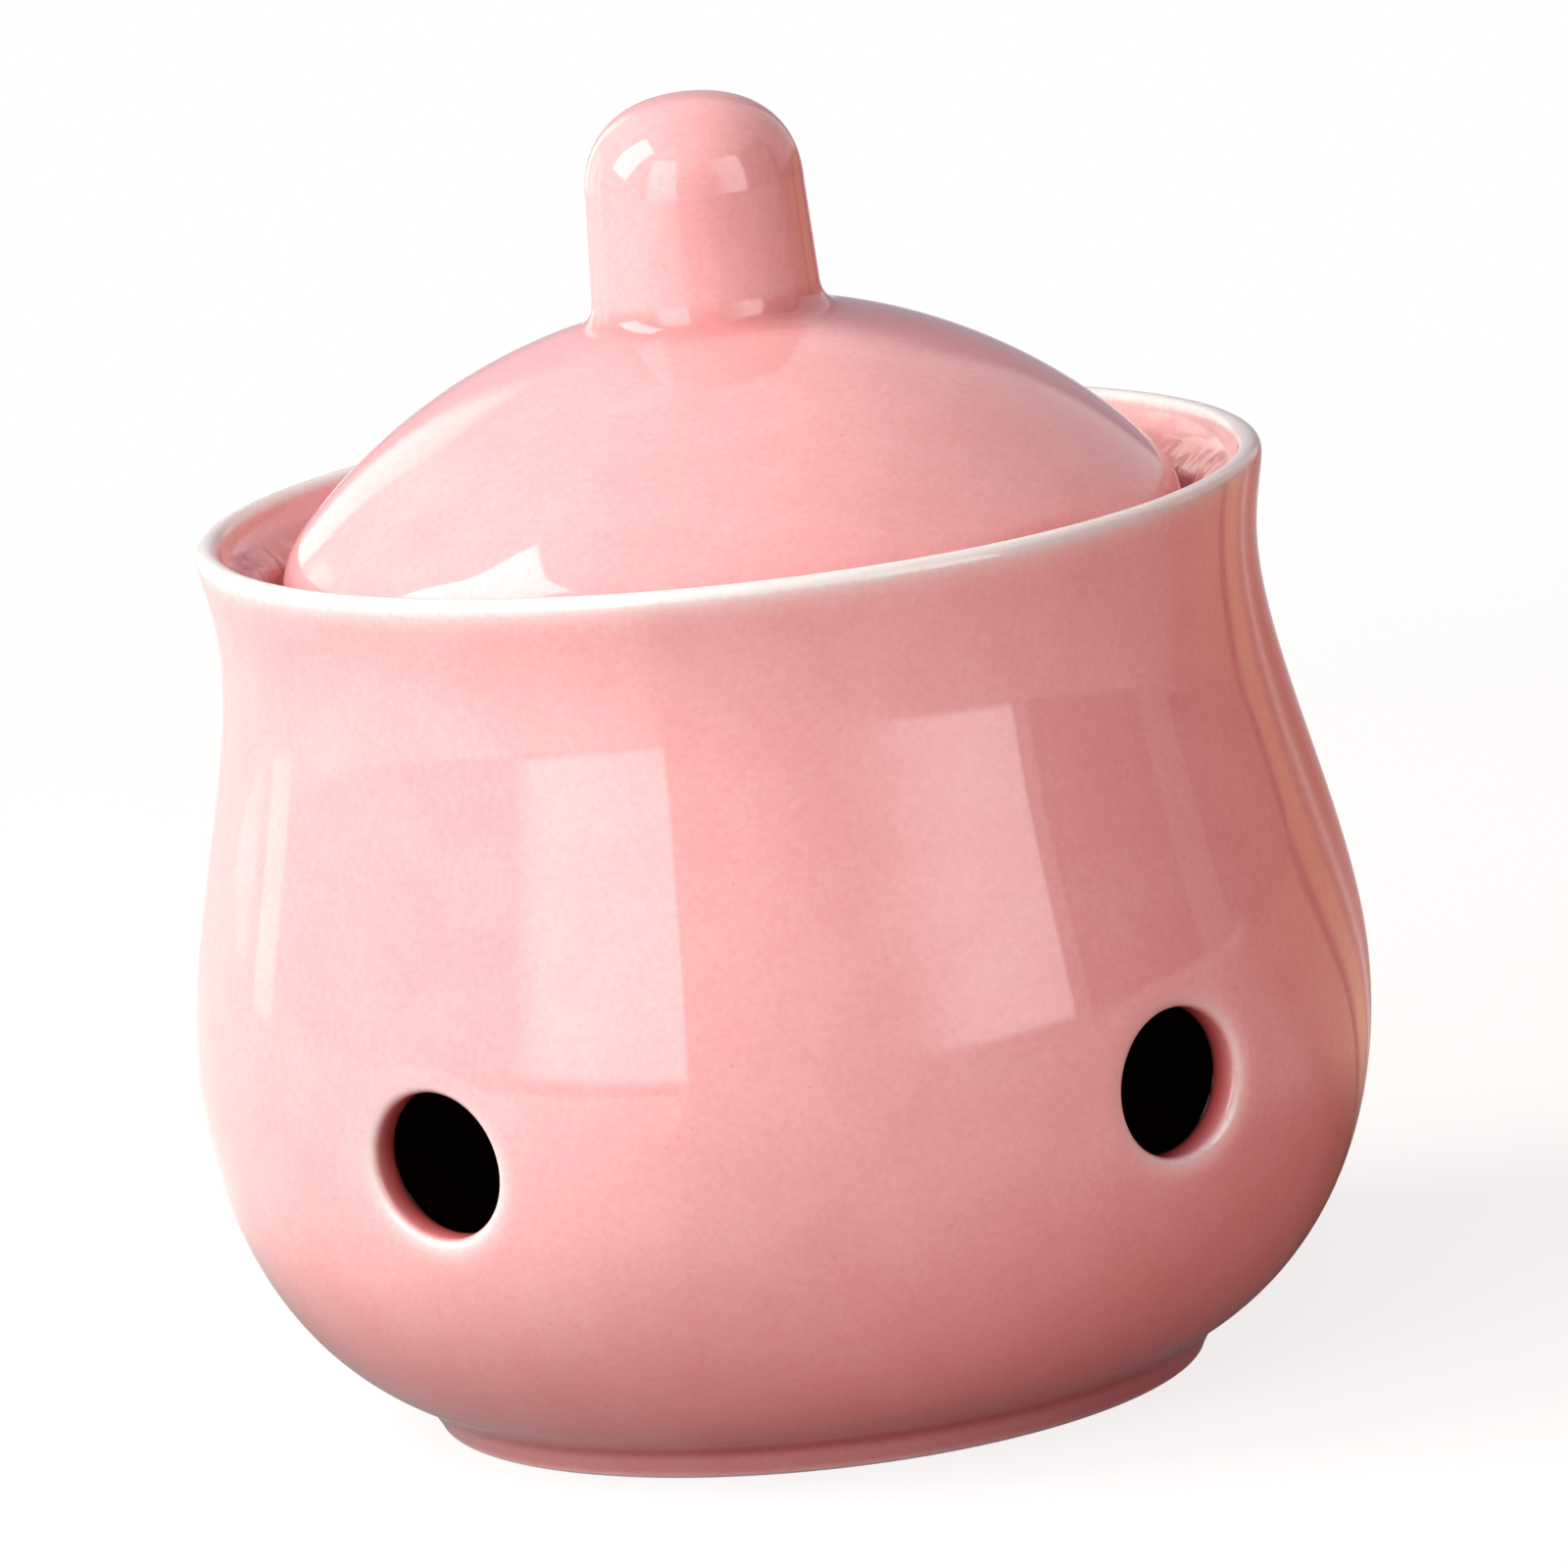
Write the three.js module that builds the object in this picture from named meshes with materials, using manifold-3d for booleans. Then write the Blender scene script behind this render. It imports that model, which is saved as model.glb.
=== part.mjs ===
// Garlic keeper: a bellied, glazed porcelain pot on a foot ring, pierced by five air vents,
// and a domed lid with a stout knob that drops onto a gallery inside the pot's mouth.
// Millimetres, +Z up. The origin is the centre of the circle that the foot ring stands on,
// and the front, with a vent on each side of it, faces -Y.
import * as THREE from 'three';
import { mergeVertices } from 'three/addons/utils/BufferGeometryUtils.js';
import Module from 'manifold-3d';

const wasm = await Module();
wasm.setup();

// Lid: the pot's gallery, neck and lip are sized around it
const lidRadius = 46;
const lidThickness = 3.4;
const lidShoulderRadius = 10;   // the round turn from the dome down to the edge
const lidEdgeHeight = 1.25;     // straight edge between the seat and the shoulder
const lidDomeRadius = 58.4;
const lidSeatRounding = 1;
const lidInnerRounding = 0.6;

// Knob, drawn up out of the dome and hollow from below
const knobBaseRadius = 11.7;
const knobTopRadius = 11.1;
const knobHeight = 21.4;        // above the top of the dome
const knobCrownHeight = 7.6;
const knobFillet = 2.4;
const knobHollowRadius = 6;
const knobCrownThickness = 5.6;
const knobHollowFillet = 1.6;

// Fit of the lid in the gallery
const lidPlay = 2.2;            // all round, so that a fired lid always drops in
const seatClearance = 0.3;
const seatOverlap = 1.1;        // how far the ledge reaches in past the lid's ring
const ledgeNoseRadius = 1.2;
const galleryFillet = 1.2;
const galleryDepth = 8.4;       // from the top of the lip down to the ledge

// Pot
const potHeight = 93;
const bellyRadius = 60;
const bellyLevel = 38.6;
const wallThickness = 4.2;
const galleryWall = 4.7;
const neckBelowLedge = 3;
const lipFlare = 1.35;
const lipThickness = 2.4;
const floorThickness = 3.8;
const floorDish = 1.2;          // how far the floor lies below the foot of the wall

// Foot ring
const footRadius = 39.5;
const footRingHeight = 3.5;
const footRingFlare = 1.8;
const footRingWidth = 4.6;
const footRingDraft = 0.8;
const footRounding = 0.5;

// Vents: two flank the front, and the others share the rest of the belly evenly
const ventCount = 5;
const ventRadius = 7.5;
const ventsBelowBelly = 1.8;
const ventEdgeRounding = 1;
const ventInnerRounding = 0.6;
const frontVentSpread = THREE.MathUtils.degToRad(77.8);
const cutOverrun = 3;
const weldDistance = 0.0001;    // points closer than this are one point

// Curve of the belly: the angle that it leaves the foot at, and the pull of each handle
const footLaunchAngle = THREE.MathUtils.degToRad(24.2);
const footPullShare = 0.347;          // of the height from foot ring to belly
const lowerBellyPullShare = 0.49;
const upperBellyPullShare = 0.317;    // of the height from belly to neck
const neckPullShare = 0.289;
const neckRisePullShare = 0.49;       // of the height from neck to lip
const lipPullShare = 0.17;
const mouthPullShare = 0.42;          // of the height from gallery to lip
const ledgeRootShare = 0.8;           // along the upper belly, where the ledge grows out
const ledgePullShare = 0.55;          // of the ledge's reach

// How finely the round forms are stepped
const turnSteps = 60;
const bellySteps = 8;
const insideSteps = 6;
const shortSteps = 3;
const edgeSteps = 3;
const lipSteps = 6;
const domeSteps = 6;
const crownSteps = 6;
const ventSteps = 20;
const searchHalvings = 30;

const quarterTurn = Math.PI / 2;
const eighthTurn = Math.PI / 4;
const halfTurn = Math.PI;
const fullTurn = 2 * Math.PI;

// Sizes that follow from the ones above
const galleryRadius = lidRadius + lidPlay;
const ledgeRadius = lidRadius - lidThickness - seatOverlap;
const galleryLevel = potHeight - galleryDepth;
const neckRadius = galleryRadius + galleryWall;
const neckLevel = galleryLevel - neckBelowLedge;
const lipRadius = neckRadius + lipFlare;
const lipRounding = lipThickness / 2;
const lipLevel = potHeight - lipRounding;
const ventLevel = bellyLevel - ventsBelowBelly;
const lidSeatLevel = galleryLevel + seatClearance;

// Profiles are drawn as points of (radius, height)
const at = (radius, height) => new THREE.Vector2(radius, height);
const along = (start, angle, reach) => {
  return at(start.x + reach * Math.cos(angle), start.y + reach * Math.sin(angle));
};
const sweep = (...controls) => new THREE.CubicBezierCurve(...controls);
const blend = (...controls) => new THREE.QuadraticBezierCurve(...controls);
const arc = (centre, radius, from, to) => {
  return new THREE.ArcCurve(centre.x, centre.y, radius, from, to, to < from);
};

// The point at a share of a curve, moved to the left of its run by an inset
function beside(curve, share, inset) {
  const point = curve.getPoint(share);
  const run = curve.getTangent(share);
  return at(point.x - inset * run.y, point.y + inset * run.x);
}

// Points along a curve, from one share of it to another
function stretch(curve, steps, from = 0, to = 1, inset = 0) {
  return Array.from(
    { length: steps + 1 },
    (_, step) => beside(curve, THREE.MathUtils.lerp(from, to, step / steps), inset),
  );
}

function withoutRepeats(points) {
  return points.filter((point, index) => index === 0 || point.distanceTo(points[index - 1]) > weldDistance);
}

// Turns a profile about the Z axis; it starts and ends on the axis
function turned(profile, steps) {
  const geometry = new THREE.LatheGeometry(withoutRepeats(profile), steps);
  return geometry.rotateX(quarterTurn);
}

function toSolid(geometry) {
  const bare = geometry.clone();
  bare.deleteAttribute('normal');
  bare.deleteAttribute('uv');
  const merged = mergeVertices(bare, weldDistance);
  const corners = merged.index.array;
  const triangles = [];
  for (let first = 0; first < corners.length; first += 3) {
    const [a, b, c] = corners.slice(first, first + 3);
    if (a !== b && b !== c && c !== a) triangles.push(a, b, c);
  }
  return new wasm.Manifold(new wasm.Mesh({
    numProp: 3,
    vertProperties: new Float32Array(merged.attributes.position.array),
    triVerts: new Uint32Array(triangles),
  }));
}

function toGeometry(solid) {
  const mesh = solid.getMesh();
  const geometry = new THREE.BufferGeometry();
  geometry.setAttribute('position', new THREE.BufferAttribute(mesh.vertProperties, 3));
  geometry.setIndex(new THREE.BufferAttribute(mesh.triVerts, 1));
  geometry.computeVertexNormals();
  return geometry;
}

// Outside of the pot, from the foot ring up to the lip
const footJoin = at(footRadius + footRingFlare, footRingHeight);
const belly = at(bellyRadius, bellyLevel);
const neck = at(neckRadius, neckLevel);
const lipOutside = at(lipRadius, lipLevel);
const lipInside = at(lipRadius - lipThickness, lipLevel);
const lowerHeight = belly.y - footJoin.y;
const upperHeight = neck.y - belly.y;
const neckHeight = lipOutside.y - neck.y;
const lowerBelly = sweep(
  footJoin,
  along(footJoin, footLaunchAngle, footPullShare * lowerHeight),
  at(belly.x, belly.y - lowerBellyPullShare * lowerHeight),
  belly,
);
const upperBelly = sweep(
  belly,
  at(belly.x, belly.y + upperBellyPullShare * upperHeight),
  at(neck.x, neck.y - neckPullShare * upperHeight),
  neck,
);
const neckRise = sweep(
  neck,
  at(neck.x, neck.y + neckRisePullShare * neckHeight),
  at(lipOutside.x, lipOutside.y - lipPullShare * neckHeight),
  lipOutside,
);

// Radius of the belly's outside at a height, found by halving the stretch that crosses it
function bellyRadiusAt(level) {
  const curve = level < belly.y ? lowerBelly : upperBelly;
  let [low, high] = [0, 1];
  for (let halving = 0; halving < searchHalvings; halving++) {
    const middle = (low + high) / 2;
    if (curve.getPoint(middle).y < level) low = middle;
    else high = middle;
  }
  return curve.getPoint(low).x;
}

// The foot ring and the hollow under the floor, from the axis outwards
function footProfile(undersideLevel) {
  const ringInside = footRadius - footRingWidth;
  const hollowCorner = at(ringInside - footRingDraft, undersideLevel);
  return [
    at(0, undersideLevel),
    at(hollowCorner.x - footRounding, undersideLevel),
    at(hollowCorner.x, undersideLevel - footRounding),
    at(ringInside, footRounding),
    at(ringInside + footRounding, 0),
    ...stretch(arc(at(footRadius - footRounding, footRounding), footRounding, -quarterTurn, 0), edgeSteps),
  ];
}

// Inside of the mouth, from the lip down to the ledge and round its nose to the wall below
function galleryProfile() {
  const galleryTop = at(galleryRadius, galleryLevel + galleryFillet);
  const mouthHeight = lipInside.y - galleryTop.y;
  const mouth = sweep(
    lipInside,
    at(lipInside.x, lipInside.y - mouthPullShare * mouthHeight),
    at(galleryTop.x, galleryTop.y + mouthPullShare * mouthHeight),
    galleryTop,
  );
  const corner = arc(at(galleryRadius - galleryFillet, galleryTop.y), galleryFillet, 0, -quarterTurn);
  const noseCentre = at(ledgeRadius + ledgeNoseRadius, galleryLevel - ledgeNoseRadius);
  const nose = arc(noseCentre, ledgeNoseRadius, quarterTurn, halfTurn + eighthTurn);
  const noseEnd = along(noseCentre, halfTurn + eighthTurn, ledgeNoseRadius);
  const root = beside(upperBelly, ledgeRootShare, wallThickness);
  const pull = ledgePullShare * (root.x - noseEnd.x);
  const underside = sweep(noseEnd, along(noseEnd, -eighthTurn, pull), at(root.x, root.y + pull), root);
  return [
    ...stretch(mouth, shortSteps),
    ...stretch(corner, edgeSteps),
    ...stretch(nose, shortSteps),
    ...stretch(underside, shortSteps),
  ];
}

function potProfile() {
  const innerLower = stretch(lowerBelly, insideSteps, 1, 0, wallThickness);
  const wallFoot = innerLower.at(-1);
  const floorLevel = wallFoot.y - floorDish;
  const dishReach = floorDish / Math.tan(footLaunchAngle);
  const dishCorner = at(wallFoot.x - dishReach, floorLevel);
  const dish = blend(wallFoot, dishCorner, at(dishCorner.x - dishReach, floorLevel));
  return [
    ...footProfile(floorLevel - floorThickness),
    ...stretch(lowerBelly, bellySteps),
    ...stretch(upperBelly, bellySteps),
    ...stretch(neckRise, shortSteps),
    ...stretch(arc(at(lipRadius - lipRounding, lipLevel), lipRounding, 0, halfTurn), lipSteps),
    ...galleryProfile(),
    ...stretch(upperBelly, insideSteps, ledgeRootShare, 0, wallThickness),
    ...innerLower,
    ...stretch(dish, edgeSteps),
    at(0, floorLevel),
  ];
}

// A punch for one vent, bent to the belly so that its rounded mouth follows the wall
function ventPunch(turn) {
  const outerCentre = at(ventRadius + ventEdgeRounding, ventEdgeRounding);
  const innerCentre = at(ventRadius + ventInnerRounding, wallThickness - ventInnerRounding);
  const outerEdge = arc(outerCentre, ventEdgeRounding, -quarterTurn, -halfTurn);
  const innerEdge = arc(innerCentre, ventInnerRounding, halfTurn, quarterTurn);
  const profile = [
    at(0, -cutOverrun),
    at(ventRadius + ventEdgeRounding, -cutOverrun),
    ...stretch(outerEdge, edgeSteps),
    ...stretch(innerEdge, edgeSteps),
    at(ventRadius + ventInnerRounding, wallThickness + cutOverrun),
    at(0, wallThickness + cutOverrun),
  ];
  const geometry = new THREE.LatheGeometry(withoutRepeats(profile), ventSteps);
  const places = geometry.attributes.position;
  for (let index = 0; index < places.count; index++) {
    const [aside, depth, up] = [places.getX(index), places.getY(index), places.getZ(index)];
    const reach = bellyRadiusAt(ventLevel + up) - depth;
    places.setXYZ(index, aside, -Math.sqrt(reach ** 2 - aside ** 2), ventLevel + up);
  }
  return toSolid(geometry.rotateZ(turn));
}

function ventTurns() {
  const backGap = (fullTurn - frontVentSpread) / (ventCount - 1);
  return Array.from({ length: ventCount }, (_, index) => frontVentSpread / 2 + index * backGap);
}

function potGeometry() {
  let body = toSolid(turned(potProfile(), turnSteps));
  for (const turn of ventTurns()) body = body.subtract(ventPunch(turn));
  return toGeometry(body);
}

// The lid's heights are counted from the ring that it sits on
function lidProfile() {
  const shoulderCentre = at(lidRadius - lidShoulderRadius, lidEdgeHeight);
  const domeDrop = Math.sqrt((lidDomeRadius - lidShoulderRadius) ** 2 - shoulderCentre.x ** 2);
  const domeCentre = at(0, shoulderCentre.y - domeDrop);
  const shoulderAngle = Math.atan2(domeDrop, shoulderCentre.x);
  const domeTop = domeCentre.y + lidDomeRadius;
  const insideRadius = lidDomeRadius - lidThickness;
  const domeAngle = (radius, sphere) => Math.acos(radius / sphere);
  const onDome = (radius, sphere) => along(domeCentre, domeAngle(radius, sphere), sphere);

  const knobTop = domeTop + knobHeight;
  const crownLevel = knobTop - knobCrownHeight;
  const knobRoot = onDome(knobBaseRadius, lidDomeRadius);
  const filletStart = onDome(knobBaseRadius + knobFillet, lidDomeRadius);
  const taper = (knobBaseRadius - knobTopRadius) / (crownLevel - knobRoot.y);
  const filletEnd = at(knobBaseRadius - taper * knobFillet, knobRoot.y + knobFillet);
  const crown = new THREE.EllipseCurve(0, crownLevel, knobTopRadius, knobCrownHeight, 0, quarterTurn);

  const hollowTop = knobTop - knobCrownThickness;
  const hollowRound = arc(at(0, hollowTop - knobHollowRadius), knobHollowRadius, quarterTurn, 0);
  const hollowMouth = onDome(knobHollowRadius, insideRadius);
  const hollowRim = onDome(knobHollowRadius + knobHollowFillet, insideRadius);
  const hollowEdge = blend(at(knobHollowRadius, hollowMouth.y + knobHollowFillet), hollowMouth, hollowRim);
  const insideDome = arc(domeCentre, insideRadius, domeAngle(hollowRim.x, insideRadius), shoulderAngle);
  const insideShoulder = arc(shoulderCentre, lidShoulderRadius - lidThickness, shoulderAngle, 0);

  const ringInside = lidRadius - lidThickness;
  const innerCentre = at(ringInside + lidInnerRounding, lidInnerRounding);
  const outerCentre = at(lidRadius - lidSeatRounding, lidSeatRounding);
  const innerRound = arc(innerCentre, lidInnerRounding, halfTurn, halfTurn + quarterTurn);
  const outerRound = arc(outerCentre, lidSeatRounding, -quarterTurn, 0);
  const shoulder = arc(shoulderCentre, lidShoulderRadius, 0, shoulderAngle);
  const dome = arc(domeCentre, lidDomeRadius, shoulderAngle, domeAngle(filletStart.x, lidDomeRadius));
  return [
    ...stretch(hollowRound, shortSteps),
    ...stretch(hollowEdge, edgeSteps),
    ...stretch(insideDome, domeSteps),
    ...stretch(insideShoulder, shortSteps),
    ...stretch(innerRound, edgeSteps),
    ...stretch(outerRound, edgeSteps),
    ...stretch(shoulder, shortSteps),
    ...stretch(dome, domeSteps),
    ...stretch(blend(filletStart, knobRoot, filletEnd), edgeSteps),
    ...stretch(crown, crownSteps),
  ];
}

function lidGeometry() {
  return toGeometry(toSolid(turned(lidProfile(), turnSteps)));
}

const glaze = { color: 0xe9a9a6, roughness: 0.16, metalness: 0 };

const keeper = new THREE.Group();

const pot = new THREE.Mesh(potGeometry(), new THREE.MeshStandardMaterial(glaze));
pot.name = 'pot';
keeper.add(pot);

const lid = new THREE.Mesh(lidGeometry(), new THREE.MeshStandardMaterial(glaze));
lid.name = 'lid';
lid.position.z = lidSeatLevel;
keeper.add(lid);

export default keeper;
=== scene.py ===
# Garlic keeper: a glazed porcelain pot with round air vents, and its domed lid.
# Sizes in the dictionaries are in millimetres and degrees. +Z is up and the front faces -Y.
import math

import bpy
from mathutils import Matrix, Quaternion, Vector
from mathutils.geometry import interpolate_bezier


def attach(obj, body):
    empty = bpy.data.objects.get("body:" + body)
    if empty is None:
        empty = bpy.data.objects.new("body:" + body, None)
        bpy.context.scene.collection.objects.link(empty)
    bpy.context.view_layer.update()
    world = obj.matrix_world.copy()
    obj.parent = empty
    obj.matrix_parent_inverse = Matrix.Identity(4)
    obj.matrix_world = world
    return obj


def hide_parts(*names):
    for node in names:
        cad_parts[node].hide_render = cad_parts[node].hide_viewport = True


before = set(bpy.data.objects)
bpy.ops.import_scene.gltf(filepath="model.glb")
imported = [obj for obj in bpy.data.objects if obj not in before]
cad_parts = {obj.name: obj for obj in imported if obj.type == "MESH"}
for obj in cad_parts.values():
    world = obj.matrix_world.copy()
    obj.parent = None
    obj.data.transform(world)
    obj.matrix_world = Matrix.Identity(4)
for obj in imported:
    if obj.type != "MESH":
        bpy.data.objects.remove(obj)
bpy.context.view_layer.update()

mm = 0.001
print("frame loaded:", ", ".join(sorted(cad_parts)))


# Profiles are drawn as points (radius, height) and turned into pieces.
samePoint = 0.001                # profile points closer than this are one point
weldReach = 0.002 * mm           # and mesh points closer than this are welded
cornerPull = 0.67                # how far a rounded corner's handles reach towards its point


def at(radius, height):
    return Vector((radius, height))


def bezier(start, startHandle, endHandle, end, steps):
    return interpolate_bezier(start, startHandle, endHandle, end, steps + 1)


def arc(centre, radius, fromAngle, toAngle, steps):
    points = []
    for step in range(steps + 1):
        angle = math.radians(fromAngle + (toAngle - fromAngle) * step / steps)
        points.append(centre + radius * at(math.cos(angle), math.sin(angle)))
    return points


def line(start, end, steps):
    return [start.lerp(end, step / steps) for step in range(steps + 1)]


def beside(points, inset):
    # the same run of points, moved to its left by the wall's thickness
    moved = []
    for index, point in enumerate(points):
        run = points[min(index + 1, len(points) - 1)] - points[max(index - 1, 0)]
        run.normalize()
        moved.append(at(point.x - inset * run.y, point.y + inset * run.x))
    return moved


def chain(*runs):
    points = []
    for run in runs:
        points += [point for point in run
                   if not points or (point - points[-1]).length > samePoint]
    return points


def radiusAt(points, height):
    # radius of a wall at a height, read between its profile points
    for below, above in zip(points, points[1:]):
        if below.y <= height <= above.y:
            return below.x + (above.x - below.x) * (height - below.y) / (above.y - below.y)
    return points[-1].x if height > points[-1].y else points[0].x


def deselectAll():
    bpy.ops.object.select_all(action="DESELECT")


def choose(piece):
    deselectAll()
    piece.select_set(True)
    bpy.context.view_layer.objects.active = piece


def drawProfile(name, points, acrossAxis):
    # one corner, pulled out point by point; acrossAxis is where the profile's height runs
    def place(point):
        corner = (point.x, 0, point.y) if acrossAxis == "Z" else (point.x, point.y, 0)
        return Vector(corner) * mm

    deselectAll()
    bpy.ops.mesh.primitive_plane_add(size=mm, location=(0, 0, 0))
    piece = bpy.context.active_object
    piece.name = piece.data.name = name
    bpy.ops.object.mode_set(mode="EDIT")
    bpy.ops.mesh.select_mode(type="VERT")
    bpy.ops.mesh.merge(type="CENTER")
    bpy.ops.transform.translate(value=place(points[0]))
    for start, end in zip(points, points[1:]):
        bpy.ops.mesh.extrude_vertices_move(
            TRANSFORM_OT_translate={"value": place(end) - place(start)})
    bpy.ops.object.mode_set(mode="OBJECT")
    return piece


def closeSeams():
    # joins the points that lie on each other, and turns every face outwards
    bpy.ops.mesh.select_all(action="SELECT")
    bpy.ops.mesh.remove_doubles(threshold=weldReach)
    bpy.ops.mesh.normals_make_consistent(inside=False)
    bpy.ops.object.mode_set(mode="OBJECT")


def spinProfile(piece, steps, axis):
    choose(piece)
    bpy.ops.object.mode_set(mode="EDIT")
    bpy.ops.mesh.select_all(action="SELECT")
    bpy.ops.mesh.spin(steps=steps, angle=2 * math.pi, center=(0, 0, 0), axis=axis)
    closeSeams()


def editOnly(piece, kind, indices):
    # opens the piece for editing with just these faces or edges selected
    choose(piece)
    bpy.ops.object.mode_set(mode="EDIT")
    bpy.ops.mesh.select_mode(type=kind)
    bpy.ops.mesh.select_all(action="DESELECT")
    bpy.ops.object.mode_set(mode="OBJECT")
    parts = piece.data.polygons if kind == "FACE" else piece.data.edges
    for index in indices:
        parts[index].select = True
    bpy.ops.object.mode_set(mode="EDIT")


def smooth(piece):
    choose(piece)
    bpy.ops.object.shade_smooth()


def paint(piece, name, valueOf):
    layer = piece.data.attributes.new(name, "FLOAT", "POINT")
    layer.data.foreach_set("value", [valueOf(vertex.co / mm) for vertex in piece.data.vertices])


def clamp(value):
    return min(1, max(0, value))


def fade(distance, reach):
    # 1 at the place itself, falling softly to 0 at the reach
    share = max(0, 1 - abs(distance) / reach)
    return share * share * (3 - 2 * share)


def linear(hexColour):
    channels = [int(hexColour[first:first + 2], 16) / 255 for first in (1, 3, 5)]
    return [*(c / 12.92 if c <= 0.04045 else ((c + 0.055) / 1.055) ** 2.4 for c in channels), 1]


def clearNodes(holder):
    holder.use_nodes = True
    holder.node_tree.nodes.clear()
    return holder.node_tree


def addNode(tree, kind, settings=None, inputs=None):
    node = tree.nodes.new(kind)
    for key, value in (settings or {}).items():
        setattr(node, key, value)
    for key, value in (inputs or {}).items():
        if isinstance(value, bpy.types.NodeSocket):
            tree.links.new(value, node.inputs[key])
        else:
            node.inputs[key].default_value = value
    return node


glaze = {
    "pink": "#E5A3A4",
    "paler": "#E7A9AA",          # where the glaze drifted thinner
    "deeper": "#E39D9E",         # and where it drifted thicker
    "pooledAndShaded": "#C65A5A",         # thick glaze in the corners, and painted shade in creases and recesses
    "inside": "#38181B",         # painted shade: the inside of the closed pot, where little light reaches, is painted dark
    "porcelain": "#E0DCD9",      # the body, showing through on edges that shed their glaze
    "speck": "#B4716A",
    "cloudSize": 9,
    "grainSize": 0.7,            # finer in the real glaze, drawn coarse enough to show
    "grainShare": 0.5,           # of the drift in tone, and the rest of it is clouds
    "deepest": 0.36,             # where in that drift the tone is deepest, and where palest
    "palest": 0.64,
    "raggedLeast": 0.6,          # how much of a bare edge's white shows in the grain's lows,
    "raggedMore": 0.8,           # and how much more in its highs
    "speckSpacing": 4,
    "speckSize": 0.25,
    "speckStrength": 0.25,
    "waveSize": 14,              # slow swell that the glaze levels out to
    "waveDepth": 0.012,
    "skinSize": 1.6,
    "skinDepth": 0.0007,
    "rippleSize": 3.0,           # runs inside the mouth, where poured glaze turned over the ledge
    "rippleDepth": 0.45,
    "roughness": 0.03,
    "ior": 1.52,
}


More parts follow.
